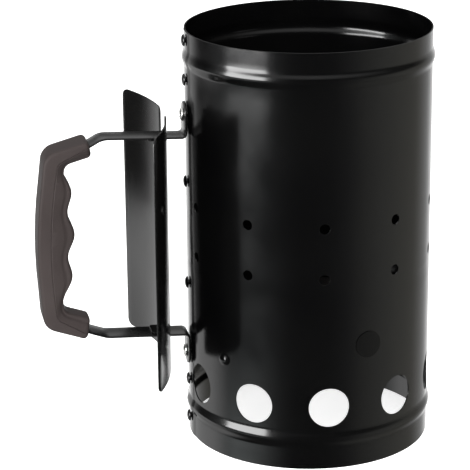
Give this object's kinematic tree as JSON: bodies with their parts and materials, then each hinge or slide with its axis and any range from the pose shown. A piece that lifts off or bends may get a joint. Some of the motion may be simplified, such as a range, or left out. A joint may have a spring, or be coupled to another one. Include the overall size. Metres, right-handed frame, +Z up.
{
  "type": "chimney charcoal starter",
  "caption": "Open steel tube with air holes and an inner grate for lighting charcoal, with a strap handle, a curved heat shield and a finger-shaped grip.",
  "frame": {"origin": "centre of the bounding box, on the surface it stands on", "axes": "+Z up along the barrel, the handle points to -X"},
  "size_m": [0.2706, 0.168, 0.283],
  "materials": {
    "black_paint": "semi-gloss",
    "strap_paint": "semi-gloss",
    "shield_paint": "satin",
    "black_rivets": "semi-gloss",
    "bright_screws": "polished",
    "grate_steel": "plain",
    "grip_plastic": "matt",
    "label": "matt"
  },
  "bodies": {
    "root": {"barrel": "black_paint", "seam_rivet_1": "black_rivets", "seam_rivet_2": "black_rivets", "seam_rivet_3": "black_rivets", "seam_rivet_4": "black_rivets", "seam_rivet_5": "black_rivets", "seam_rivet_6": "black_rivets", "handle_strap": "strap_paint", "handle_screw_upper": "bright_screws", "handle_screw_lower": "bright_screws", "handle_nut_upper": "bright_screws", "handle_nut_lower": "bright_screws", "heat_shield": "shield_paint", "grip_outer_shell": "grip_plastic", "grip_inner_shell": "grip_plastic", "grip_screw_upper": "bright_screws", "grip_screw_lower": "bright_screws", "charcoal_grate": "grate_steel", "grate_screw_1": "black_rivets", "grate_screw_2": "black_rivets", "grate_screw_3": "black_rivets", "grate_nut_1": "grate_steel", "grate_nut_2": "grate_steel", "grate_nut_3": "grate_steel", "blank_label": "label"}
  },
  "joints": []
}
